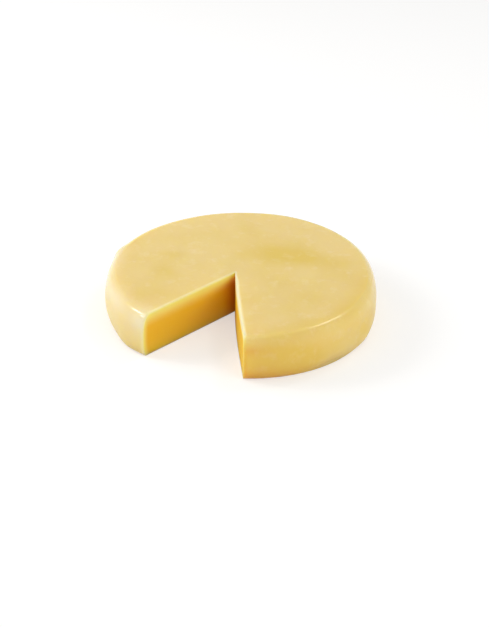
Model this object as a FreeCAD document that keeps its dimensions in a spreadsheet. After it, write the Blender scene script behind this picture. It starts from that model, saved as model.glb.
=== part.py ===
"""Kashar cheese: a low round wheel of smooth stretched-curd cheese with one wedge cut out of it.

Frame: +Z up, the base on Z = 0, the origin under the middle of the wheel. The gap opens towards -Y.
Units: millimetres and degrees.

The wheel is lofted through three uneven rings, because a wheel turned out of its mould by hand is
never quite round, and its side stands out a little at half height. Then its rims are rounded, two
knife cuts take the wedge out, and the edges that the knife left are softened.
"""

import FreeCAD, Part
import math
import os

import Sketcher

SHEET = "Sizes"
SIZES = {
    # the wheel
    "wheel_diameter": 240.0,
    "wheel_height": 40.0,
    "side_bulge": 1.6,  # how far the side stands out at half height, beyond its top and base
    "top_round": 9.6,  # radius of the upper rim
    "base_round": 3.2,  # radius of the lower rim
    # how far the outline leaves a circle in two, three and four lobes, and where each first peaks
    "oval_wave": 0.4,
    "oval_turn": -45.0,
    "egg_wave": 1.1,
    "egg_turn": 80.0,
    "corner_wave": 0.35,
    "corner_turn": 70.0,
    # the gap: its two faces meet at the tip, which lies a little short of the middle
    "tip_across": -4.0,
    "tip_along": -7.5,
    "cut_angle": 48.0,
    "cut_bow": 1.3,  # how far the right face bows into the gap, where the knife wandered
    "cut_edge_round": 1.2,  # radius along the edges that the knife left
    "knife_overrun": 4.0,  # how much further than half the wheel's width the knife went
}
LOBES = {"oval": 2, "egg": 3, "corner": 4}
RING_POINTS = 24  # points that each ring's spline passes through
RING_SPANS = 6  # pieces that each ring is split into
NEAR = 0.01  # two places closer than this are the same

doc = FreeCAD.newDocument("KasharWheel")


# --- sizes ---------------------------------------------------------------------------------------


def make_sheet():
    """A spreadsheet of the driving sizes, one alias to a row."""
    sheet = doc.addObject("Spreadsheet::Sheet", SHEET)
    for row, (name, value) in enumerate(SIZES.items(), start=1):
        sheet.set(f"A{row}", name)
        sheet.set(f"B{row}", str(value))
        sheet.setAlias(f"B{row}", name)
    doc.recompute()
    return sheet


sheet = make_sheet()


def size(name):
    """A driving size, as a number."""
    return float(getattr(sheet, name))


def cell(name):
    """The same size, as it is written in an expression."""
    return f"{SHEET}.{name}"


# --- sketches ------------------------------------------------------------------------------------


def flat_sketch(body, name, height=None):
    """A level sketch in the body, at the height that an expression gives, or on the base."""
    plane = next(f for f in body.Origin.OriginFeatures if f.Role == "XY_Plane")
    sketch = body.newObject("Sketcher::SketchObject", name)
    sketch.AttachmentSupport = (plane, "")
    sketch.MapMode = "FlatFace"
    if height:
        sketch.setExpression("AttachmentOffset.Base.z", height)
    return sketch


def outline_radius(turn, inset):
    """The wheel's radius at the angle turn, on a ring that lies inset inside the widest one."""
    wave = sum(
        size(f"{name}_wave") * math.cos(math.radians(lobes * (turn - size(f"{name}_turn"))))
        for name, lobes in LOBES.items()
    )
    return size("wheel_diameter") / 2 - inset + wave


def ring_sketch(body, name, inset, height=None):
    """One level ring of the wheel: a closed spline, fixed where the outline puts it.

    It is split into spans, because the rims round soundly only where a ring has corners to start
    from.
    """
    points = []
    for i in range(RING_POINTS):
        turn = 360 * i / RING_POINTS
        radius = outline_radius(turn, inset)
        angle = math.radians(turn)
        points.append(FreeCAD.Vector(radius * math.cos(angle), radius * math.sin(angle), 0))
    ring = Part.BSplineCurve()
    ring.interpolate(Points=points, PeriodicFlag=True)

    sketch = flat_sketch(body, name, height)
    step = (ring.LastParameter - ring.FirstParameter) / RING_SPANS
    for i in range(RING_SPANS):
        span = ring.copy()
        span.segment(ring.FirstParameter + i * step, ring.FirstParameter + (i + 1) * step)
        sketch.addGeometry(span, False)
    for i in range(RING_SPANS):
        sketch.addConstraint(Sketcher.Constraint("Block", i))
    return sketch


def gap_sketch(body):
    """The wedge that the knife takes out, seen from above, run on past the wheel's edge.

    The left side is straight and the right side is an arc, which bows into the gap.
    """
    half_angle = math.radians(size("cut_angle") / 2)
    reach = size("wheel_diameter") / 2 + size("knife_overrun")
    tip = FreeCAD.Vector(size("tip_across"), size("tip_along"), 0)
    left = tip + FreeCAD.Vector(-math.sin(half_angle), -math.cos(half_angle), 0) * reach
    right = tip + FreeCAD.Vector(math.sin(half_angle), -math.cos(half_angle), 0) * reach
    far = FreeCAD.Vector(0, -reach / 4, 0)

    bow = size("cut_bow")
    bow_radius = (reach**2 / 4 + bow**2) / (2 * bow)
    away = FreeCAD.Vector(math.cos(half_angle), math.sin(half_angle), 0)
    bow_middle = (tip + right) / 2 + away * (bow_radius - bow)
    bow_circle = Part.Circle(bow_middle, FreeCAD.Vector(0, 0, 1), bow_radius)
    turns = [math.atan2(p.y - bow_middle.y, p.x - bow_middle.x) % math.tau for p in (tip, right)]

    sketch = flat_sketch(body, "Gap")
    lines = [(tip, left), (left, left + far), (left + far, right + far), (right + far, right)]
    for first, last in lines:
        sketch.addGeometry(Part.LineSegment(first, last), False)
    left_cut, left_side, far_side, right_side = range(4)
    right_cut = sketch.addGeometry(Part.ArcOfCircle(bow_circle, *turns), False)
    middle = sketch.addGeometry(Part.LineSegment(tip, tip + far), True)
    chord = sketch.addGeometry(Part.LineSegment(tip, right), True)
    start, end = 1, 2
    origin = (-1, 1)

    joined = [
        (left_cut, end, left_side, start),
        (left_side, end, far_side, start),
        (far_side, end, right_side, start),
        (right_side, end, right_cut, end),
        (right_cut, start, left_cut, start),
        (middle, start, left_cut, start),
        (chord, start, left_cut, start),
        (chord, end, right_side, end),
    ]
    for ends in joined:
        sketch.addConstraint(Sketcher.Constraint("Coincident", *ends))
    for upright in (middle, left_side, right_side):
        sketch.addConstraint(Sketcher.Constraint("Vertical", upright))
    sketch.addConstraint(Sketcher.Constraint("Horizontal", far_side))

    reach_cells = f"({cell('wheel_diameter')} / 2 + {cell('knife_overrun')})"
    half_angle_cells = f"{cell('cut_angle')} / 2 * 1 deg"
    bow_cells = f"({reach_cells} ^ 2 / 4 + {cell('cut_bow')} ^ 2) / (2 * {cell('cut_bow')})"
    bound = {
        "tip_across": (("DistanceX", *origin, left_cut, start, tip.x), cell("tip_across")),
        "tip_along": (("DistanceY", *origin, left_cut, start, tip.y), cell("tip_along")),
        "left_angle": (("Angle", left_cut, start, middle, start, half_angle), half_angle_cells),
        "right_angle": (("Angle", middle, start, chord, start, half_angle), half_angle_cells),
        "left_reach": (("Distance", left_cut, reach), reach_cells),
        "right_reach": (("Distance", chord, reach), reach_cells),
        "bow_radius": (("Radius", right_cut, bow_radius), bow_cells),
        "middle_length": (("Distance", middle, far.Length), f"{reach_cells} / 4"),
        "far_length": (("Distance", left_side, far.Length), f"{reach_cells} / 4"),
    }
    for name, (constraint, expression) in bound.items():
        number = sketch.addConstraint(Sketcher.Constraint(*constraint))
        sketch.renameConstraint(number, name)
        sketch.setExpression(f"Constraints.{name}", expression)
    return sketch


# --- the wheel -----------------------------------------------------------------------------------


def level_edges(shape, height):
    """Names of the edges that lie level at that height."""
    return [
        f"Edge{number}"
        for number, edge in enumerate(shape.Edges, start=1)
        if abs(edge.BoundBox.ZMin - height) < NEAR and abs(edge.BoundBox.ZMax - height) < NEAR
    ]


def knife_edges(shape):
    """Names of the edges round the two cut faces, but for the base and the inner corner."""
    tip = FreeCAD.Vector(size("tip_across"), size("tip_along"), 0)
    names = {f"Edge{number}": edge for number, edge in enumerate(shape.Edges, start=1)}
    found = []
    for face in shape.Faces:
        touches_tip = any((v.Point - tip).Length < NEAR for v in face.Vertexes)
        if not touches_tip or face.BoundBox.ZLength < size("wheel_height") - NEAR:
            continue
        for name, edge in names.items():
            box = edge.BoundBox
            upright = box.XLength < NEAR and box.YLength < NEAR
            on_face = any(edge.isSame(other) for other in face.Edges)
            if on_face and not upright and box.ZMax > NEAR:
                found.append(name)
    return found


def rounded(body, name, edges, radius):
    """Rounds those edges of the body, with the radius bound to its cell."""
    before = body.Tip
    fillet = body.newObject("PartDesign::Fillet", name)
    fillet.Base = (before, edges)
    fillet.setExpression("Radius", cell(radius))
    doc.recompute()
    return fillet


def make_wheel():
    """The cheese: one body, one solid.

    The loft runs from the top ring down, because run upwards it comes out inside out.
    """
    body = doc.addObject("PartDesign::Body", "CheeseWheel")
    body.Label = "cheese_wheel"
    top = ring_sketch(body, "TopRing", size("side_bulge"), cell("wheel_height"))
    widest = ring_sketch(body, "WidestRing", 0, f"{cell('wheel_height')} / 2")
    base = ring_sketch(body, "BaseRing", size("side_bulge"))

    blank = body.newObject("PartDesign::AdditiveLoft", "Blank")
    blank.Profile = top
    blank.Sections = [widest, base]
    doc.recompute()

    rounded(body, "TopRim", level_edges(body.Tip.Shape, size("wheel_height")), "top_round")
    rounded(body, "BaseRim", level_edges(body.Tip.Shape, 0), "base_round")

    whole = body.Tip.Shape.Volume
    gap = body.newObject("PartDesign::Pocket", "WedgeGap")
    gap.Profile = gap_sketch(body)
    gap.Type = "ThroughAll"
    gap.Reversed = True
    doc.recompute()
    wedge_share = size("cut_angle") / 360
    if gap.Shape.Volume > whole * (1 - wedge_share / 2):
        raise RuntimeError("the wedge was not cut out")

    rounded(body, "KnifeEdges", knife_edges(body.Tip.Shape), "cut_edge_round")
    return body


def check_and_export(bodies):
    """Stops on a failed feature or an unsound solid, then writes one STEP file to a body."""
    failed = [o.Label for o in doc.Objects if {"Invalid", "Error"} & set(o.State)]
    if failed:
        raise RuntimeError(f"these features failed: {failed}")
    os.makedirs("parts", exist_ok=True)
    for body in bodies:
        shape = body.Shape
        if shape.isNull() or not shape.isValid() or len(shape.Solids) != 1:
            raise RuntimeError(f"{body.Label} is not one sound solid")
        shape.exportStep(os.path.join("parts", f"{body.Label}.step"))
        box = shape.BoundBox
        print(
            f"{body.Label}: {box.XLength:.1f} x {box.YLength:.1f} x {box.ZLength:.1f} mm,"
            f" {shape.Volume / 1000:.0f} cm3, {len(shape.Faces)} faces"
        )


wheel = make_wheel()
check_and_export([wheel])
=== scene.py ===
"""Kashar cheese: a low wheel with a wedge cut out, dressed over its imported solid.

The wheel's skin runs round the tip of its gap from one cut face to the other. It is settled onto an
uneven outline, its knife edges are softened and a low relief is laid over it.
All lengths are in metres and all angles in degrees. The base is on Z = 0 and the gap opens to -Y.
"""

import logging
import math
from dataclasses import dataclass, field
from enum import Enum
from functools import lru_cache
from typing import Any, Callable

import bmesh
import bpy
import numpy as np
from mathutils import Matrix, Vector, noise


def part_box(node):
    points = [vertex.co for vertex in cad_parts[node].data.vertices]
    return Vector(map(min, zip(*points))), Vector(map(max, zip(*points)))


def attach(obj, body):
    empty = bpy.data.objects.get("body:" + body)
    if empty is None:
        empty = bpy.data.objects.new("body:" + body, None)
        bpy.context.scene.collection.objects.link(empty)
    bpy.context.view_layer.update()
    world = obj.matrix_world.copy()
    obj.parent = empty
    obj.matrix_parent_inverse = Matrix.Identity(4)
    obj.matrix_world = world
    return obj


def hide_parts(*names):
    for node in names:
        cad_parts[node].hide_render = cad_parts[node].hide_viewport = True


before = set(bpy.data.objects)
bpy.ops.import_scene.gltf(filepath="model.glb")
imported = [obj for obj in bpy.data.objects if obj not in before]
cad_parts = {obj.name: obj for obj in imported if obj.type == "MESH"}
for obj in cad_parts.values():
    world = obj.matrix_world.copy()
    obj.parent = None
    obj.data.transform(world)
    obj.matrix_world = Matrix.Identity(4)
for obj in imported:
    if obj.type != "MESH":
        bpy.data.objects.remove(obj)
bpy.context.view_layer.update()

BODY = "root"
NODE = "cheese_wheel"
MM = 0.001
NEARLY_ZERO = 1e-6

log = logging.getLogger("kashar")

Colour = tuple[float, float, float]


def from_srgb(red: int, green: int, blue: int) -> Colour:
    """Turns an 8-bit display colour into the linear colour that a shader takes.

    Args:
        red: Red, from 0 to 255.
        green: Green, from 0 to 255.
        blue: Blue, from 0 to 255.

    Returns:
        The three linear components.
    """
    def linear(part: int) -> float:
        """One component, from display to linear."""
        share = part / 255
        return share / 12.92 if share <= 0.04045 else ((share + 0.055) / 1.055) ** 2.4

    return linear(red), linear(green), linear(blue)


def ease(value: float, start: float, end: float) -> float:
    """Rises smoothly from 0 to 1 as a value goes from start to end.

    Args:
        value: The value to look at.
        start: Where the rise starts.
        end: Where it ends, above or below start.

    Returns:
        A share from 0 to 1.
    """
    share = min(max((value - start) / (end - start), 0.0), 1.0)
    return share * share * (3 - 2 * share)


def away(azimuth: float, elevation: float) -> Vector:
    """The way from the cheese to what stands at an azimuth and an elevation, one metre long.

    Args:
        azimuth: Turn about Z, 0 for what stands at -Y and 90 for what stands at +X.
        elevation: Angle above the floor.

    Returns:
        The direction.
    """
    turn, rise = math.radians(azimuth), math.radians(elevation)
    return Vector(
        (math.sin(turn) * math.cos(rise), -math.cos(turn) * math.cos(rise), math.sin(rise))
    )


def add_object(name: str, data: bpy.types.ID) -> bpy.types.Object:
    """Adds an object to the scene, at the origin.

    Args:
        name: Its name.
        data: Its mesh, camera or lamp.

    Returns:
        The new object.
    """
    added = bpy.data.objects.new(name, data)
    bpy.context.scene.collection.objects.link(added)
    return added


def add_mesh(name: str, mesh: bmesh.types.BMesh) -> bpy.types.Object:
    """Adds a finished mesh to the scene.

    Args:
        name: Its name.
        mesh: The mesh, which is freed.

    Returns:
        The new object.
    """
    data = bpy.data.meshes.new(name)
    mesh.to_mesh(data)
    mesh.free()
    return add_object(name, data)


def graded(total: float, fine: float, coarse: float, growth: float, both_ends: bool) -> list[float]:
    """Places along a stretch, close together at its end and wider apart further in.

    Args:
        total: Length of the stretch.
        fine: First step at the end.
        coarse: Widest step.
        growth: How much longer each step is than the one before it.
        both_ends: Whether the start is fine too.

    Returns:
        The places from 0 to total, both included.
    """
    steps: list[float] = []
    step, covered = fine, 0.0
    reach = total / 2 if both_ends else total
    while covered + step < reach:
        steps.append(step)
        covered += step
        step = min(step * growth, coarse)
    steps.append(reach - covered)
    if steps[-1] < steps[-2] / 2:
        steps[-2] += steps.pop()
    order = steps + steps[::-1] if both_ends else steps[::-1]
    places = np.concatenate([[0.0], np.cumsum(order)])
    return [float(place) for place in places * (total / places[-1])]


# --- shader expressions --------------------------------------------------------------------------


class Shade:
    """A number or colour socket of a material, with arithmetic that adds Math nodes."""

    def __init__(self, nodes: "Nodes", socket: bpy.types.NodeSocket) -> None:
        """Wraps an output socket of the material that nodes builds."""
        self.nodes = nodes
        self.socket = socket

    def _math(self, operation: str, first: Any, second: Any) -> "Shade":
        """Adds a Math node on two values, each a Shade or a number."""
        return self.nodes.add("ShaderNodeMath", {"operation": operation}, {0: first, 1: second})

    def __add__(self, other: Any) -> "Shade":
        """self + other."""
        return self._math("ADD", self, other)

    __radd__ = __add__

    def __sub__(self, other: Any) -> "Shade":
        """self - other."""
        return self._math("SUBTRACT", self, other)

    def __rsub__(self, other: Any) -> "Shade":
        """other - self."""
        return self._math("SUBTRACT", other, self)

    def __mul__(self, other: Any) -> "Shade":
        """self * other."""
        return self._math("MULTIPLY", self, other)

    __rmul__ = __mul__


@dataclass(frozen=True)
class Pattern:
    """A soft noise in a finish: its waves in a metre, its detail and how rough that is.

    Its waves lie closer along Z by its squeeze.
    """

    waves: float
    detail: float
    roughness: float = 0.5
    squeeze: float = 1.0


class Nodes:
    """Builds the node tree of one material or world."""

    def __init__(self, tree: bpy.types.NodeTree) -> None:
        """Starts from an empty tree."""
        self.tree = tree
        tree.nodes.clear()

    def add(self, kind: str, settings: dict[str, Any] | None = None,
            sockets: dict[Any, Any] | None = None, output: int | str = 0) -> Shade:
        """Adds a node, sets it up and links it.

        Args:
            kind: The node's type name.
            settings: Its own properties, and "stops" for a colour ramp's places and levels.
            sockets: Its inputs by name or number: a Shade is linked, anything else is set.
            output: The output to return.

        Returns:
            That output, as a Shade.
        """
        node = self.tree.nodes.new(kind)
        for name, value in (settings or {}).items():
            if name == "stops":
                self._set_stops(node, value)
            else:
                setattr(node, name, value)
        for name, value in (sockets or {}).items():
            if isinstance(value, Shade):
                self.tree.links.new(value.socket, node.inputs[name])
            else:
                node.inputs[name].default_value = value
        outputs = node.outputs
        return Shade(self, outputs[output]) if len(outputs) else Shade(self, None)

    @staticmethod
    def _set_stops(node: bpy.types.Node, stops: tuple[tuple[float, float], ...]) -> None:
        """Gives a colour ramp its grey stops, each a place and a level."""
        ramp = node.color_ramp
        while len(ramp.elements) < len(stops):
            ramp.elements.new(0.5)
        for element, (place, level) in zip(ramp.elements, stops):
            element.position = place
            element.color = (level, level, level, 1)

    def ramp(self, value: Shade, stops: tuple[tuple[float, float], ...]) -> Shade:
        """Maps a value through a ramp of grey stops, each a place and a level."""
        return self.add("ShaderNodeValToRGB", {"stops": stops}, {"Fac": value})

    def mix(self, share: Any, first: Any, second: Any) -> Shade:
        """Mixes two colours by a share, each a Shade or a colour."""
        def four(colour: Any) -> Any:
            """A colour with its alpha, or the Shade as it is."""
            return colour if isinstance(colour, Shade) else (*colour, 1)

        return self.add(
            "ShaderNodeMix",
            {"data_type": "RGBA", "clamp_factor": True},
            {0: share, 6: four(first), 7: four(second)},
            output=2,
        )

    def seen(self) -> Shade:
        """1 where the eye looks, straight or by a mirror or glass, and 0 for soft light."""
        rays = ("Is Camera Ray", "Is Glossy Ray", "Is Transmission Ray")
        camera, glossy, through = (self.add("ShaderNodeLightPath", output=ray) for ray in rays)
        return camera + glossy + through

    def share(self, name: str) -> Shade:
        """A share that the mesh holds at each of its points."""
        return self.add("ShaderNodeAttribute", {"attribute_name": name}, output="Fac")

    def noise(self, pattern: Pattern) -> Shade:
        """Lays a pattern, with values about 0.5, on the piece's own coordinates."""
        point = self.add("ShaderNodeTexCoord", output="Object")
        squeezed = {"Vector": point, "Scale": (1, 1, pattern.squeeze)}
        return self.add(
            "ShaderNodeTexNoise",
            None,
            {
                "Vector": self.add("ShaderNodeMapping", None, squeezed),
                "Scale": pattern.waves,
                "Detail": pattern.detail,
                "Roughness": pattern.roughness,
            },
            output="Fac",
        )


# --- finishes ------------------------------------------------------------------------------------


@dataclass(frozen=True)
class CheeseFinish:
    """Kashar: a pale, faintly oily skin, and a deeper, moister paste where the knife went.

    A pull is how much its pattern or share adds before the stops tell moist skin from plain, and a
    swing is how far a pattern moves what it is added to, from its least value to its highest.
    """

    name: str = "kashar"
    top: Colour = from_srgb(237, 210, 131)
    top_moist: Colour = from_srgb(229, 198, 84)
    # The side's own colour, paler than the top, is partly painted sheen of the lit sides.
    side: Colour = from_srgb(244, 222, 152)
    # Moister side, and the painted shade of the front flank: a darker amber.
    side_moist_and_shade: Colour = from_srgb(238, 207, 95)
    # Paler curds, and the painted highlight along the knife edges.
    pale_and_highlight: Colour = from_srgb(254, 237, 199)
    # Painted sheen: a near-white colour for the sheen along the lit left rim.
    painted_sheen: Colour = from_srgb(253, 240, 222)
    # Painted shade: a darker amber for the shade along the base and beside the right cut's side
    # corner.
    foot: Colour = from_srgb(234, 170, 58)
    paste: Colour = from_srgb(252, 232, 132)
    # Deeper paste under the skin, which is partly painted shade: darker lower down the cut faces.
    heart_and_shade: Colour = from_srgb(240, 190, 14)
    # Painted shade: the darkest amber, for the shade in the narrow tip of the gap and on the right
    # face.
    tip_shade: Colour = from_srgb(228, 146, 8)
    clouds: Pattern = Pattern(24, 3, 0.55)
    cloud_pull: float = 0.9
    moist_and_shade_pull: float = 0.6
    wet_and_shade_stops: tuple[tuple[float, float], ...] = ((0.42, 0.0), (1.0, 1.0))
    curds: Pattern = Pattern(95, 4, 0.6)
    curd_stops: tuple[tuple[float, float], ...] = ((0.52, 0.0), (0.8, 0.3))
    curd_height: float = 0.3 * MM
    drags: Pattern = Pattern(40, 2, squeeze=4)
    drag_swing: float = 0.14
    drag_height: float = 0.15 * MM
    pores: Pattern = Pattern(420, 3, 0.6)
    pore_height: float = 0.05 * MM
    relief_strength: float = 0.5
    skin_roughness: float = 0.42
    paste_roughness: float = 0.7
    roughness_swing: float = 0.14
    refraction: float = 1.45
    oil: float = 0.85
    oil_off_rim: float = 0.08
    oil_roughness: float = 0.09
    scatter_radius: Colour = (15 * MM, 14 * MM, 2.6 * MM)

    def skin_colour(self, nodes: Nodes, curds: Shade) -> Shade:
        """The skin's colour: moist or plain, with painted shade on the front flank, then painted
        sheen, with paler curds, then painted shade at the foot.

        Args:
            nodes: The material that it goes into.
            curds: The pattern of curds.

        Returns:
            The colour.
        """
        # Moister skin, and painted shade on the front flank, by the patches' share.
        damp_and_shade = nodes.share(MOIST_AND_SHADE_SHARE) * self.moist_and_shade_pull
        wet_and_shade = nodes.ramp(damp_and_shade + nodes.noise(self.clouds) * self.cloud_pull, self.wet_and_shade_stops)
        top = nodes.mix(wet_and_shade, self.top, self.top_moist)
        side = nodes.mix(wet_and_shade, self.side, self.side_moist_and_shade)
        # Top and side colours by how the skin faces; the side's paler colour is partly painted
        # sheen.
        skin = nodes.mix(nodes.share(SIDE_SHARE), top, side)
        # Painted sheen: paler along the lit left rim, where its patches lie.
        skin = nodes.mix(nodes.share(SHEEN_SHARE), skin, self.painted_sheen)
        skin = nodes.mix(nodes.ramp(curds, self.curd_stops), skin, self.pale_and_highlight)
        # Painted shade: darker amber at the foot, where its patches lie.
        return nodes.mix(nodes.share(FOOT_SHADE_SHARE), skin, self.foot)

    def paste_colour(self, nodes: Nodes, drags: Shade) -> Shade:
        """The paste's colour in the cut faces: deeper away from the skin, partly painted shade, and
        darker near the tip and on the right face, which is painted shade.

        Args:
            nodes: The material that it goes into.
            drags: The pattern of the knife's drag marks.

        Returns:
            The colour.
        """
        # Partly painted shade: the paste deeper lower down the cut faces, sooner on the right face.
        heart_and_shade = nodes.share(HEART_AND_SHADE_SHARE) + drags * self.drag_swing - self.drag_swing / 2
        paste = nodes.mix(heart_and_shade, self.paste, self.heart_and_shade)
        # Painted shade: darker towards the tip of the gap and on the right face.
        return nodes.mix(nodes.share(TIP_SHADE_SHARE), paste, self.tip_shade)

    def make(self) -> bpy.types.Material:
        """Builds the material.

        Returns:
            The new material.
        """
        material = bpy.data.materials.new(self.name)
        material.use_nodes = True
        nodes = Nodes(material.node_tree)
        cut = nodes.share(CUT_SHARE)
        curds = nodes.noise(self.curds)
        drags = nodes.noise(self.drags)
        pores = nodes.noise(self.pores)

        skin, paste = self.skin_colour(nodes, curds), self.paste_colour(nodes, drags)
        colour = nodes.mix(cut, skin, paste)
        # Painted highlight: the knife edges paler, by their share.
        colour = nodes.mix(nodes.share(EDGE_HIGHLIGHT_SHARE), colour, self.pale_and_highlight)

        shine = curds * self.roughness_swing - self.roughness_swing / 2
        roughness = shine + self.skin_roughness + cut * (self.paste_roughness - self.skin_roughness)
        relief = curds * self.curd_height + pores * self.pore_height
        relief = relief + cut * drags * self.drag_height
        normal = nodes.add(
            "ShaderNodeBump",
            None,
            {"Height": relief, "Strength": self.relief_strength, "Distance": 1.0},
        )
        oily = nodes.share(RIM_SHARE) * (1 - self.oil_off_rim) + self.oil_off_rim
        longest = max(self.scatter_radius)
        surface = nodes.add(
            "ShaderNodeBsdfPrincipled",
            {"subsurface_method": "RANDOM_WALK"},
            {
                "Base Color": colour,
                "Roughness": roughness,
                "Normal": normal,
                "IOR": self.refraction,
                "Subsurface Weight": 1.0,
                "Subsurface Radius": tuple(part / longest for part in self.scatter_radius),
                "Subsurface Scale": longest,
                "Coat Weight": self.oil * oily * (1 - cut),
                "Coat Roughness": self.oil_roughness,
            },
        )
        nodes.add("ShaderNodeOutputMaterial", None, {"Surface": surface})
        return material


@dataclass(frozen=True)
class FloorFinish:
    """A plain pale floor, which shows as white but for the shadow on it."""

    name: str = "floor"
    bounce: Colour = (0.82, 0.76, 0.64)
    shown: float = 0.58
    lift: float = 0.5

    def make(self) -> bpy.types.Material:
        """Builds the material.

        Returns:
            The new material.
        """
        material = bpy.data.materials.new(self.name)
        material.use_nodes = True
        nodes = Nodes(material.node_tree)
        lit = nodes.add("ShaderNodeBsdfDiffuse", None, {"Color": (*self.bounce, 1)})
        shadowed = nodes.add("ShaderNodeBsdfDiffuse", None, {"Color": (*(self.shown,) * 3, 1)})
        lifted = nodes.add("ShaderNodeEmission", None, {"Strength": self.lift})
        white = nodes.add("ShaderNodeAddShader", None, {0: shadowed, 1: lifted})
        surface = nodes.add("ShaderNodeMixShader", None, {0: nodes.seen(), 1: lit, 2: white})
        nodes.add("ShaderNodeOutputMaterial", None, {"Surface": surface})
        return material


# --- the wheel -----------------------------------------------------------------------------------

CUT_SHARE = "cut_share"
# Share of the deeper paste under the skin, partly painted shade.
HEART_AND_SHADE_SHARE = "heart_and_shade_share"
# Share of painted shade in the tip of the gap and on the right face.
TIP_SHADE_SHARE = "tip_shade_share"
# Share of painted highlight on the knife edges.
EDGE_HIGHLIGHT_SHARE = "edge_highlight_share"
# Share of side, which takes the side's paler colour, partly painted sheen.
SIDE_SHARE = "side_share"
RIM_SHARE = "rim_share"
# Share of moister skin, and of painted shade on the front flank.
MOIST_AND_SHADE_SHARE = "moist_and_shade_share"
# Share of painted sheen on the left rim.
SHEEN_SHARE = "painted_sheen_share"
# Share of painted shade at the foot.
FOOT_SHADE_SHARE = "foot_shade_share"
SHARES = (
    CUT_SHARE,
    HEART_AND_SHADE_SHARE,
    TIP_SHADE_SHARE,
    EDGE_HIGHLIGHT_SHARE,
    SIDE_SHARE,
    RIM_SHARE,
    MOIST_AND_SHADE_SHARE,
    SHEEN_SHARE,
    FOOT_SHADE_SHARE,
)


@dataclass(frozen=True)
class Place:
    """Where a point of the wheel lies, and what it belongs to, as shares from 0 to 1.

    Its shares say how far it lies in a cut face, how far a knife edge's painted highlight covers
    it, how far it has the deeper paste well under the skin, partly painted shade, and how far it
    has the painted shade that is highest at the tip of the gap.
    """

    spot: Vector
    cut: float
    edge: float
    heart_and_shade: float
    tip_shade: float


class Cut(Enum):
    """The gap's two faces: the sign of the turn that leads from each into the cheese."""

    LEFT = -1
    RIGHT = 1


@dataclass(frozen=True)
class CutLook:
    """How one face of the gap and its edges are finished.

    Its edge along the top is rounded by edge_round and gets a share of painted highlight, as the
    edge on the side gets its own. The paste has its full deeper colour, partly painted shade,
    heart_depth under the top, and the last share is the least share there of the deepest colour,
    painted shade.
    """

    edge_round: float
    edge_highlight_share: float
    corner_highlight_share: float
    heart_depth: float
    tip_shade_share: float


@dataclass(frozen=True)
class Fineness:
    """How finely the wheel's skin is divided, and how finely its outline is followed."""

    finest: float = 0.45 * MM
    widest_column: float = 2.1 * MM
    column_growth: float = 1.25
    widest_turn: float = 1.5 * MM
    turn_growth: float = 1.2
    foot_rows: int = 11
    rim_rows: int = 24
    weld: float = 0.01 * MM
    sharp_angle: float = 38.0
    reach_rounds: int = 4


@dataclass(frozen=True)
class Grain:
    """One grain of the low relief: its waves in a metre along X, Y and Z, and its height."""

    waves: tuple[float, float, float]
    height: float
    shift: tuple[float, float, float] = (0, 0, 0)

    def at(self, place: Vector) -> float:
        """How high the grain stands at a place, above or below 0."""
        spot = Vector([part * waves for part, waves in zip(place, self.waves)])
        return noise.noise(spot + Vector(self.shift)) * self.height


@dataclass(frozen=True)
class Wave:
    """One even unevenness of the outline: its lobes, its height and where it first peaks."""

    lobes: int
    height: float
    turn: float


@dataclass(frozen=True)
class Dent:
    """A soft hollow in the side, or a swelling where its depth is below 0.

    One that is over the rim goes on across it, onto the top.
    """

    turn: float
    level: float
    across: float
    up: float
    depth: float
    lean: float = 0.0
    over_rim: bool = False

    def depth_at(self, along: float, level: float) -> float:
        """How deep the hollow is at a place on the side.

        Args:
            along: Distance round the side from the dent's middle.
            level: Height above the base.

        Returns:
            The depth there.
        """
        lean = math.radians(self.lean)
        up = level - self.level
        long_way = along * math.cos(lean) + up * math.sin(lean)
        short_way = up * math.cos(lean) - along * math.sin(lean)
        return self.depth * math.exp(-((long_way / self.across) ** 2) - (short_way / self.up) ** 2)


@dataclass(frozen=True)
class SkinPatch:
    """A patch that gives the skin another colour there: moister skin, painted shade on the front
    flank and the foot, painted sheen on the left rim.
    """

    middle: tuple[float, float, float]
    long_reach: float
    short_reach: float
    deep_reach: float
    turn: float
    share: float

    def share_at(self, place: Vector) -> float:
        """How far a place belongs to the patch, from 0 to the patch's own share."""
        gap = (place - Vector(self.middle)) @ Matrix.Rotation(math.radians(self.turn), 3, "Z")
        far = (gap.x / self.long_reach) ** 2 + (gap.y / self.short_reach) ** 2
        return self.share * math.exp(-far - (gap.z / self.deep_reach) ** 2)


def share_of(patches: tuple[SkinPatch, ...], place: Vector) -> float:
    """How far a place belongs to some patches, as the sum of their shares."""
    return sum(patch.share_at(place) for patch in patches)


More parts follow.
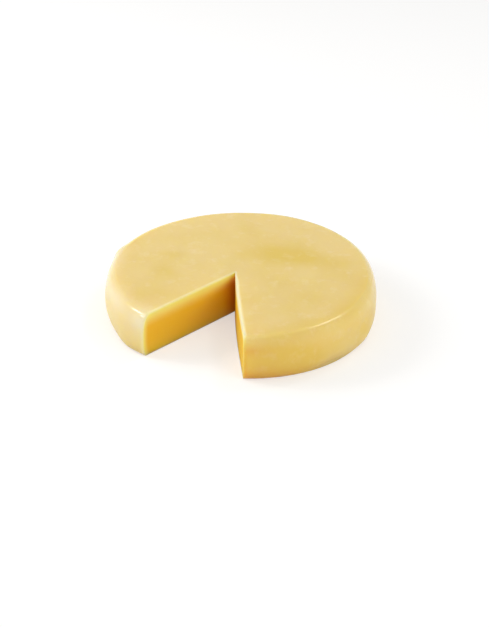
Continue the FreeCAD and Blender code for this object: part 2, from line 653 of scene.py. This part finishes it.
@dataclass(eq=False)
class CheeseWheel:
    """The wheel with its wedge cut out, as one closed skin.

    It is first laid out as an even wheel about the tip of the gap, its nominal shape, and each
    point of that is then settled where it really lies about the wheel's middle.
    """

    height: float
    radius: float = 120 * MM
    widest: float = 14 * MM  # the level at which the wheel is widest
    rim_reach: float = 10 * MM  # how far in the side's rounding reaches at the top
    foot_reach: float = 4.4 * MM  # and at the base
    across_power: float = 2.2  # the higher, the squarer the side's rounding
    up_power: float = 3.0
    waves: tuple[Wave, ...] = (
        Wave(2, 0.4 * MM, -45),
        Wave(3, 1.1 * MM, 80),
        Wave(4, 0.35 * MM, 70),
    )
    tip: Vector = field(default_factory=lambda: Vector((-4 * MM, -7.5 * MM, 0)))
    cut_angle: float = 48.0
    cut_bow: float = 1.3 * MM
    bow_lean: float = 0.8  # below 1, the bow is fullest nearer to the tip than to the rim
    bow_depth: float = 25 * MM  # how far into the cheese the bow draws the skin along
    cut_looks: dict[Cut, CutLook] = field(
        default_factory=lambda: {
            Cut.LEFT: CutLook(1.3 * MM, 0.4, 0.4, 15 * MM, 0.0),
            # The right cut's broad pale edge is painted highlight, and its shorter heart depth and
            # least share of the deepest colour are painted shade.
            Cut.RIGHT: CutLook(2.6 * MM, 0.85, 0.0, 8 * MM, 0.12),
        }
    )
    corner_round: float = 1.3 * MM
    tip_round: float = 0.4 * MM
    tip_stretch: tuple[float, float] = (2 * MM, 22 * MM)  # where tip_round gives way
    edge_glow: float = 1.6 * MM  # how far the painted highlight on the edge fades out past its round
    edge_core: float = 0.5  # the share of the round in which the edge's painted highlight is palest
    corner_facing: tuple[float, float] = (0.4, 1.0)  # from an edge on top to one on the side
    paste_core: float = 0.2  # the share of the round, from outside, that is still skin
    paste_edge: float = 0.6 * MM  # how far past the round the skin's colour fades out
    heart_inset: float = 7 * MM  # how far in from the side the paste has its full deeper colour, partly painted shade
    deep_reach: float = 20 * MM  # how far from the tip the painted shade, the deepest colour, fades out
    rigid_rim: float = 4 * MM  # how far in from the rounding the outline's waves don't stretch
    grains: tuple[Grain, ...] = (
        Grain((22, 22, 22), 0.22 * MM),
        Grain((48, 48, 48), 0.1 * MM, (3, 7, 1)),
        Grain((130, 130, 130), 0.04 * MM, (9, 2, 5)),
    )
    side_grain: Grain = Grain((55, 55, 120), 0.12 * MM)
    drag_grain: Grain = Grain((35, 35, 260), 0.09 * MM)
    smooth_cut: float = 0.6  # the share of the grains that a cut face lacks
    flat_base: float = 2 * MM  # the level under which the relief fades out
    side_facing: tuple[float, float] = (0.9, 0.0)  # upward part of the way out, top to side
    rim_facing: tuple[float, float] = (0.998, 0.96)  # the same, top to rim
    below_rim_facing: tuple[float, float] = (-0.1, 0.5)  # the same, foot to rim
    dent_facing: tuple[float, float] = (0, 0.6)  # one less that part's size, top to side
    fineness: Fineness = Fineness()
    dents: tuple[Dent, ...] = (
        Dent(-64, 40 * MM, 18 * MM, 8 * MM, 1.6 * MM, over_rim=True),
        Dent(-60, 25.5 * MM, 15 * MM, 4.5 * MM, 0.8 * MM, 4),
        Dent(-62, 10 * MM, 5 * MM, 3 * MM, 0.4 * MM, 20),
        Dent(-56, 15 * MM, 4 * MM, 2.5 * MM, 0.3 * MM, -40),
        Dent(-36, 12 * MM, 4 * MM, 3 * MM, 0.35 * MM, -15),
        Dent(-24, 19 * MM, 14 * MM, 3.2 * MM, 0.5 * MM, 32),
        Dent(-12, 22 * MM, 12 * MM, 3 * MM, 0.45 * MM, 28),
        Dent(-30, 3 * MM, 24 * MM, 8 * MM, 2.4 * MM),
        Dent(-8, 10 * MM, 14 * MM, 8 * MM, -1.2 * MM),
        Dent(167, 36 * MM, 14 * MM, 10 * MM, 2.0 * MM),
        Dent(-179, 34 * MM, 11 * MM, 12 * MM, -2.0 * MM),
        Dent(-158, 14 * MM, 22 * MM, 10 * MM, -1.0 * MM),
        Dent(-125, 5 * MM, 16 * MM, 7 * MM, -2.2 * MM),
    )
    # Moister skin on the top and the right side; the patch on the front flank is painted shade.
    moist_and_shade_patches: tuple[SkinPatch, ...] = (
        SkinPatch((36 * MM, 38 * MM, 40 * MM), 46 * MM, 17 * MM, 20 * MM, 4, 1.2),
        SkinPatch((56 * MM, -16 * MM, 40 * MM), 40 * MM, 26 * MM, 20 * MM, -30, 0.3),
        SkinPatch((88 * MM, -64 * MM, 40 * MM), 40 * MM, 10 * MM, 20 * MM, 55, 0.45),
        SkinPatch((-66 * MM, 4 * MM, 40 * MM), 13 * MM, 9 * MM, 20 * MM, 20, 0.5),
        SkinPatch((-60 * MM, -30 * MM, 40 * MM), 14 * MM, 10 * MM, 20 * MM, -30, 0.5),
        SkinPatch((112 * MM, -2 * MM, 36 * MM), 50 * MM, 12 * MM, 30 * MM, 87, 0.8),
        SkinPatch((119 * MM, -9 * MM, 15 * MM), 20 * MM, 12 * MM, 9 * MM, 85, 0.6),
        # Painted shade: the front flank a darker amber.
        SkinPatch((64 * MM, -104 * MM, 13 * MM), 66 * MM, 20 * MM, 22 * MM, 30, 1.4),
    )
    # Painted shade: darker all round the base, most at the front, in a thin band by the right cut's
    # side corner and a spot above it.
    foot_shade_patches: tuple[SkinPatch, ...] = (
        SkinPatch((0, 0, 0), 1000 * MM, 1000 * MM, 8.3 * MM, 0, 0.25),
        SkinPatch((50 * MM, -108 * MM, 0), 45 * MM, 25 * MM, 8.3 * MM, 25, 0.75),
        SkinPatch((43 * MM, -111.5 * MM, 14 * MM), 2.5 * MM, 4 * MM, 16 * MM, 24, 0.5),
        SkinPatch((46 * MM, -109 * MM, 28 * MM), 9 * MM, 6 * MM, 4 * MM, 24, 0.35),
    )
    # Painted sheen: pale patches along the lit left rim, up to the left cut.
    sheen_patches: tuple[SkinPatch, ...] = (
        SkinPatch((-50 * MM, -106 * MM, 32 * MM), 15 * MM, 12 * MM, 12 * MM, -25, 0.65),
        SkinPatch((-84 * MM, -82 * MM, 34 * MM), 26 * MM, 9 * MM, 8 * MM, -44, 0.4),
        SkinPatch((-114 * MM, -26 * MM, 34 * MM), 40 * MM, 9 * MM, 14 * MM, -77, 0.4),
    )

    # --- the nominal shape, about the tip ---

    def stretch(self, level: float) -> tuple[float, float, int]:
        """The stretch of the side that a height is in, above its widest or below.

        Returns:
            How far in it ends, how tall it is, and 1 or -1 for the way that it runs.
        """
        if level > self.widest:
            return self.rim_reach, self.height - self.widest, 1
        return self.foot_reach, self.widest, -1

    def side_place(self, level: float) -> float:
        """How far in the side lies at a height, from the wheel's widest."""
        reach, span, _ = self.stretch(level)
        up = min(abs(level - self.widest) / span, 1)
        return reach * (1 - (1 - up**self.up_power) ** (1 / self.across_power))

    def levels(self) -> list[float]:
        """Heights of the rows, evenly turned round the rim and the foot."""
        def turned(count: int) -> list[float]:
            """Shares of the way from the widest to the end, each a like turn on."""
            turns = [math.pi / 2 * i / count for i in range(1, count + 1)]
            return [math.sin(turn) ** (2 / self.up_power) for turn in turns]

        above = self.height - self.widest
        foot = [self.widest * (1 - share) for share in reversed(turned(self.fineness.foot_rows))]
        rim = [self.widest + above * share for share in turned(self.fineness.rim_rows)]
        return [*foot, self.widest, *rim]

    def columns(self) -> list[float]:
        """Shares of the way out from the tip, close together near the rim."""
        fine = self.fineness
        places = graded(
            self.radius, fine.finest, fine.widest_column, fine.column_growth, both_ends=False
        )
        return [place / self.radius for place in places]

    def turns(self) -> list[float]:
        """Angles from the right cut round to the left one, close together near both."""
        fine = self.fineness
        arc = self.swept() * self.radius
        places = graded(arc, fine.finest, fine.widest_turn, fine.turn_growth, both_ends=True)
        return [self.first_turn() + place / self.radius for place in places]

    def out_at(self, column: float, level: float) -> float:
        """Nominal distance from the tip of a column's share at a height."""
        return column * (self.radius - self.side_place(level))

    def first_turn(self) -> float:
        """The right cut's direction from the tip, in radians."""
        return math.radians(-90 + self.cut_angle / 2)

    def swept(self) -> float:
        """The angle that the cheese fills about the tip, in radians."""
        return math.radians(360 - self.cut_angle)

    # --- where the nominal shape really lies ---

    def outline(self, turn: float) -> float:
        """The wheel's widest radius about its middle, in the direction turn, in radians."""
        return self.radius + sum(
            wave.height * math.cos(wave.lobes * (turn - math.radians(wave.turn)))
            for wave in self.waves
        )

    @lru_cache(maxsize=None)
    def reach(self, turn: float) -> float:
        """How far the outline lies from the tip, in the direction turn, in radians."""
        outwards = Vector((math.cos(turn), math.sin(turn), 0))
        out = self.radius
        for _ in range(self.fineness.reach_rounds):
            place = self.tip + outwards * out
            out += self.outline(math.atan2(place.y, place.x)) - place.length
        return out

    def skin(self, out: float, level: float) -> tuple[float, Vector]:
        """How deep a place in a cut face lies under the skin, near enough.

        Args:
            out: Its nominal distance from the tip.
            level: Its height.

        Returns:
            The depth, and the way out of the cheese there as (outwards, upwards).
        """
        reach, span, way = self.stretch(level)
        across = max(1 - (self.radius - out) / reach, 0)
        up = abs(level - self.widest) / span
        slope = Vector(
            (
                self.across_power * across ** (self.across_power - 1) / reach,
                self.up_power * up ** (self.up_power - 1) / span * way,
            )
        )
        if slope.length < NEARLY_ZERO:
            return self.radius, Vector((1, 0))
        within = 1 - across**self.across_power - up**self.up_power
        return within / slope.length, slope.normalized()

    def knife_round(self, cut: Cut, out: float, level: float, outwards: float) -> float:
        """The radius of a cut's softened edge, which fades towards the tip and the base.

        Args:
            cut: The cut that it belongs to.
            out: Nominal distance from the tip.
            level: Height above the base.
            outwards: 0 where the skin faces up and 1 where it faces outwards.

        Returns:
            The radius.
        """
        full = self.cut_looks[cut].edge_round
        top = self.tip_round + (full - self.tip_round) * ease(out, *self.tip_stretch)
        edge = top + (self.corner_round - top) * outwards
        return edge * ease(level, 0, self.foot_reach)

    @staticmethod
    def softened(edge: float, near: float, on_face: bool) -> tuple[float, float]:
        """How a place near a knife edge is bent onto that edge's quarter round.

        Args:
            edge: The radius of the round.
            near: How far the place lies from the sharp edge, in the cut face or on the skin.
            on_face: Whether it lies in the cut face, or else on the skin.

        Returns:
            How far it moves in from the cut, and how far it sinks under the skin.
        """
        if near >= edge:
            return 0.0, 0.0
        bend = math.pi / 4 * (1 - near / edge)
        slid = edge * (1 - math.sin(bend)) - near
        pressed = edge * (1 - math.cos(bend))
        return (pressed, slid) if on_face else (slid, pressed)

    def real_out(self, turn: float, out: float) -> float:
        """How far a place really lies from the tip: the rim keeps its form, the rest stretches.

        Args:
            turn: Its direction from the tip, in radians.
            out: Its nominal distance from the tip.

        Returns:
            The distance.
        """
        length = self.reach(turn)
        zone = self.rim_reach + self.rigid_rim
        if self.radius - out < zone:
            return length - (self.radius - out)
        return out * (length - zone) / (self.radius - zone)

    def bow(self, turn: float, out: float, from_cut: float, aside: float) -> float:
        """How far the knife bowed the right cut out into the gap at a place.

        Args:
            turn: Its direction from the tip, in radians.
            out: Its nominal distance from the tip.
            from_cut: Its turn from the right cut, in radians.
            aside: Its distance from the right cut.

        Returns:
            The distance.
        """
        along = min(out * math.cos(from_cut) / self.reach(turn), 1)
        bowed = self.cut_bow * math.sin(math.pi * along**self.bow_lean)
        return bowed * ease(aside, self.bow_depth, 0)

    def settle(self, turn: float, out: float, level: float, on_face: bool) -> Place:
        """Places a point of the nominal wheel where it really lies.

        Args:
            turn: Its direction from the tip, in radians.
            out: Its nominal distance from the tip.
            level: Its height.
            on_face: Whether it lies in a cut face, or else on the skin.

        Returns:
            Its place about the wheel's middle.
        """
        swept = self.swept()
        since_right = turn - self.first_turn()
        cut = Cut.RIGHT if since_right < swept / 2 else Cut.LEFT
        look = self.cut_looks[cut]
        from_cut = since_right if cut is Cut.RIGHT else swept - since_right
        cut_turn = turn - from_cut * cut.value
        inwards = Vector((-math.sin(cut_turn), math.cos(cut_turn), 0)) * cut.value
        beside_cut = from_cut < math.pi / 2

        aside = out * math.sin(from_cut) if beside_cut else out
        depth, way = self.skin(out, level)
        edge = self.knife_round(cut, out, level, max(way.x, 0))
        near = max(depth, 0) if on_face else aside
        moved_in, sunk = self.softened(edge, near, on_face) if on_face or level > 0 else (0.0, 0.0)
        edge_highlight = 0.0
        # Painted highlight: how pale a knife edge is painted, by the cut's own shares.
        if level > 0:
            cornered = ease(way.x, *self.corner_facing)
            edge_highlight = ease(near, edge + self.edge_glow, self.edge_core * edge)
            edge_highlight *= look.edge_highlight_share + (look.corner_highlight_share - look.edge_highlight_share) * cornered
        cut_share, heart_and_shade, tip_shade = 0.0, 0.0, 0.0
        if on_face:
            cut_share = ease(depth, self.paste_core * edge, edge + self.paste_edge)
            # Partly painted shade: the paste deepens below the top and in from the side.
            heart_and_shade = ease(self.height - level, 0, look.heart_depth)
            heart_and_shade *= ease(self.out_at(1.0, level) - out, 0, self.heart_inset)
            # Painted shade: darkest at the tip of the gap, with a least share on the right face.
            tip_shade = heart_and_shade * max(ease(out, self.deep_reach, 0), look.tip_shade_share)

        outwards = Vector((math.cos(turn), math.sin(turn), 0))
        spot = self.tip + outwards * (self.real_out(turn, out) - way.x * sunk) + inwards * moved_in
        spot.z = level - way.y * sunk
        if cut is Cut.RIGHT and beside_cut:
            spot -= inwards * self.bow(turn, out, from_cut, aside)
        return Place(spot, cut_share, edge_highlight, heart_and_shade, tip_shade)

    def patch(self, mesh: bmesh.types.BMesh, columns: list[Any], rows: list[Any],
              settle: Callable[[Any, Any], Place]) -> None:
        """Adds one grid of the wheel's surface.

        Args:
            mesh: The mesh to add it to.
            columns: What each of the grid's columns stands for.
            rows: What each of its rows stands for.
            settle: Gives the place where a column and a row meet.
        """
        layers = mesh.verts.layers.float
        last_column, last_row = len(columns) - 1, len(rows) - 1
        grid = bmesh.ops.create_grid(mesh, x_segments=last_column, y_segments=last_row, size=0.5)
        for vert in grid["verts"]:
            column = columns[round((vert.co.x + 0.5) * last_column)]
            row = rows[round((vert.co.y + 0.5) * last_row)]
            place = settle(column, row)
            vert.co = place.spot
            vert[layers[CUT_SHARE]] = place.cut
            vert[layers[EDGE_HIGHLIGHT_SHARE]] = place.edge
            vert[layers[HEART_AND_SHADE_SHARE]] = place.heart_and_shade
            vert[layers[TIP_SHADE_SHARE]] = place.tip_shade

    def blank(self) -> bmesh.types.BMesh:
        """Makes the smooth wheel: its skin, from one cut round to the other, and two cut faces.

        Returns:
            The closed mesh.
        """
        mesh = bmesh.new()
        for name in SHARES:
            mesh.verts.layers.float.new(name)
        turns, columns, levels = self.turns(), self.columns(), self.levels()
        top = [(column, levels[-1]) for column in columns[:-1]]
        side = [(1.0, level) for level in reversed(levels)]
        base = [(column, levels[0]) for column in reversed(columns[:-1])]
        profile = [(self.out_at(column, level), level) for column, level in top + side + base]
        self.patch(mesh, turns, profile, lambda turn, place: self.settle(turn, *place, False))
        for turn in (turns[0], turns[-1]):
            self.patch(
                mesh,
                columns,
                levels,
                lambda column, level, turn=turn: self.settle(
                    turn, self.out_at(column, level), level, True
                ),
            )
        bmesh.ops.remove_doubles(mesh, verts=mesh.verts, dist=self.fineness.weld)
        bmesh.ops.recalc_face_normals(mesh, faces=mesh.faces)
        return mesh

    # --- the finished skin ---

    def relief(self, place: Vector, normal: Vector, cut_share: float) -> float:
        """How far the real skin stands out of the smooth one at a place.

        Args:
            place: The point.
            normal: The way out of the cheese there.
            cut_share: How far the point belongs to a cut face.

        Returns:
            The height, above or below 0.
        """
        upright = 1 - abs(normal.z)
        skin_share = 1 - cut_share
        even = sum(grain.at(place) for grain in self.grains)
        height = even + self.side_grain.at(place) * upright * skin_share
        height *= 1 - self.smooth_cut * cut_share
        height += self.drag_grain.at(place) * cut_share
        if cut_share < 1:
            height -= self.dented(place, ease(upright, *self.dent_facing)) * skin_share
        return height * ease(place.z, 0, self.flat_base)

    def dented(self, place: Vector, on_side: float) -> float:
        """How deep the hollows and swellings are at a place.

        Args:
            place: The point.
            on_side: How far it belongs to the side.

        Returns:
            The depth, below 0 where the skin swells.
        """
        turn = math.atan2(place.y, place.x)
        over = max(self.radius - self.rim_reach - place.xy.length, 0)
        total = 0.0
        for dent in self.dents:
            gap = (turn - math.radians(dent.turn) + math.pi) % math.tau - math.pi
            level = place.z + over if dent.over_rim else place.z
            depth = dent.depth_at(gap * self.radius, level)
            total += depth if dent.over_rim else depth * on_side
        return total

    def build(self) -> bpy.types.Object:
        """Makes the wheel's mesh.

        Returns:
            Its object, at the origin.
        """
        mesh = self.blank()
        cut_layer = mesh.verts.layers.float[CUT_SHARE]
        side_layer = mesh.verts.layers.float[SIDE_SHARE]
        rim_layer = mesh.verts.layers.float[RIM_SHARE]
        moist_and_shade_layer = mesh.verts.layers.float[MOIST_AND_SHADE_SHARE]
        sheen_layer = mesh.verts.layers.float[SHEEN_SHARE]
        foot_shade_layer = mesh.verts.layers.float[FOOT_SHADE_SHARE]
        mesh.normal_update()
        moves = [
            vert.normal * self.relief(vert.co, vert.normal, vert[cut_layer]) for vert in mesh.verts
        ]
        for vert, move in zip(mesh.verts, moves):
            upward = vert.normal.z
            # The side share picks the side's paler colour, partly painted sheen.
            vert[side_layer] = ease(upward, *self.side_facing)
            vert[rim_layer] = ease(upward, *self.rim_facing) * ease(upward, *self.below_rim_facing)
            # Moister skin, and painted shade on the front flank.
            vert[moist_and_shade_layer] = share_of(self.moist_and_shade_patches, vert.co)
            # Painted sheen on the left rim.
            vert[sheen_layer] = share_of(self.sheen_patches, vert.co)
            # Painted shade at the foot.
            vert[foot_shade_layer] = share_of(self.foot_shade_patches, vert.co)
            vert.co += move
        mesh.normal_update()
        for face in mesh.faces:
            face.smooth = True
        for edge in mesh.edges:
            if edge.calc_face_angle(0) > math.radians(self.fineness.sharp_angle):
                edge.smooth = False
        return add_mesh("kashar_wheel", mesh)

    def dress(self, wheel: bpy.types.Object) -> None:
        """Gives the wheel its finish, and says what it stands for."""
        wheel.data.materials.append(CheeseFinish().make())
        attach(wheel, BODY)
        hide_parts(NODE)


# --- the studio ----------------------------------------------------------------------------------


@dataclass(frozen=True)
class Viewpoint:
    """Where the camera stands. Azimuth 0 looks along +Y, and 90 looks along -X."""

    azimuth: float = 19.94
    elevation: float = 29.12
    distance: float = 1.329
    pan: float = -0.0974
    tilt: float = -0.944
    roll: float = -0.85
    lens: float = 86.12
    sensor: float = 36.0

    def build(self, middle: Vector) -> bpy.types.Object:
        """Sets up the camera.

        Args:
            middle: The point that it would look at without its pan and tilt.

        Returns:
            The camera's object.
        """
        back = away(self.azimuth, self.elevation)
        forward = -back
        right = forward.cross(Vector((0, 0, 1))).normalized()
        up = right.cross(forward)
        pan = Matrix.Rotation(math.radians(self.pan), 3, up)
        forward, right = pan @ forward, pan @ right
        tilt = Matrix.Rotation(math.radians(self.tilt), 3, right)
        forward, up = tilt @ forward, tilt @ up
        roll = Matrix.Rotation(math.radians(self.roll), 3, forward)
        right, up = roll @ right, roll @ up
        data = bpy.data.cameras.new("camera")
        data.lens = self.lens
        data.sensor_width = self.sensor
        camera = add_object("camera", data)
        turn = Matrix((right, up, -forward)).transposed().to_4x4()
        camera.matrix_world = Matrix.Translation(middle + back * self.distance) @ turn
        bpy.context.scene.camera = camera
        return camera


@dataclass(frozen=True)
class Softbox:
    """A soft lamp that faces the cheese.

    Its share is how bright it alone makes a white surface that faces it. One that is not mirrored
    gives light but shows in no reflection.
    """

    name: str
    azimuth: float
    elevation: float
    distance: float
    width: float
    height: float
    share: float
    mirrored: bool = True

    def build(self, middle: Vector) -> bpy.types.Object:
        """Sets up the lamp.

        Args:
            middle: The point that it faces.

        Returns:
            The lamp's object.
        """
        back = away(self.azimuth, self.elevation)
        data = bpy.data.lights.new(self.name, "AREA")
        data.shape = "RECTANGLE"
        data.size = self.width
        data.size_y = self.height
        data.energy = self.share * math.pi**2 * self.distance**2
        lamp = add_object(self.name, data)
        lamp.location = middle + back * self.distance
        lamp.rotation_mode = "QUATERNION"
        lamp.rotation_quaternion = (-back).to_track_quat("-Z", "Y")
        lamp.visible_glossy = self.mirrored
        return lamp


@dataclass
class Studio:
    """A plain pale floor, soft lamps and the camera."""

    floor_radius: float = 6.0
    floor_corners: int = 64
    fill: float = 0.54
    fill_colour: Colour = (1.0, 0.985, 0.96)
    lamps: tuple[Softbox, ...] = (
        Softbox("window", -89, 33, 1.3, 0.8, 0.5, 0.32, mirrored=False),
        Softbox("window_glint", -80.5, 30, 1.35, 0.12, 0.34, 0.12),
        Softbox("corner_glint", -68, 26, 1.35, 0.1, 0.3, 0.04),
        Softbox("back_lamp", 155, 53.5, 1.3, 0.2, 0.32, 0.07),
        Softbox("back_glint", 147, 56, 1.3, 0.2, 0.12, 0.03),
        Softbox("side_lamp", 68, 24, 1.3, 1.0, 0.5, 0.26, mirrored=False),
    )

    def build(self, middle: Vector) -> None:
        """Sets up everything round the cheese.

        Args:
            middle: The middle of the wheel.
        """
        self.build_floor()
        self.build_fill()
        for lamp in self.lamps:
            lamp.build(middle)
        Viewpoint().build(middle)
        bpy.context.scene.view_settings.view_transform = "Standard"

    def build_floor(self) -> None:
        """Lays the floor under the base."""
        mesh = bmesh.new()
        bmesh.ops.create_circle(
            mesh, cap_ends=True, segments=self.floor_corners, radius=self.floor_radius
        )
        floor = add_mesh("floor", mesh)
        floor.data.materials.append(FloorFinish().make())

    def build_fill(self) -> None:
        """Fills the room with even light, and shows it as white."""
        world = bpy.data.worlds.new("room")
        world.use_nodes = True
        bpy.context.scene.world = world
        nodes = Nodes(world.node_tree)
        even = nodes.add(
            "ShaderNodeBackground", None, {"Color": (*self.fill_colour, 1), "Strength": self.fill}
        )
        white = nodes.add("ShaderNodeBackground", None, {"Color": (1, 1, 1, 1), "Strength": 1.0})
        surface = nodes.add("ShaderNodeMixShader", None, {0: nodes.seen(), 1: even, 2: white})
        nodes.add("ShaderNodeOutputWorld", None, {"Surface": surface})


def main() -> None:
    """Builds the cheese and its studio."""
    logging.basicConfig(level=logging.INFO, format="%(name)s: %(message)s")
    low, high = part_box(NODE)
    maker = CheeseWheel(height=high.z - low.z)
    wheel = maker.build()
    maker.dress(wheel)
    log.info("%s: %d faces", wheel.name, len(wheel.data.polygons))
    Studio().build(Vector((0, 0, (low.z + high.z) / 2)))


if __name__ == "__main__":
    main()
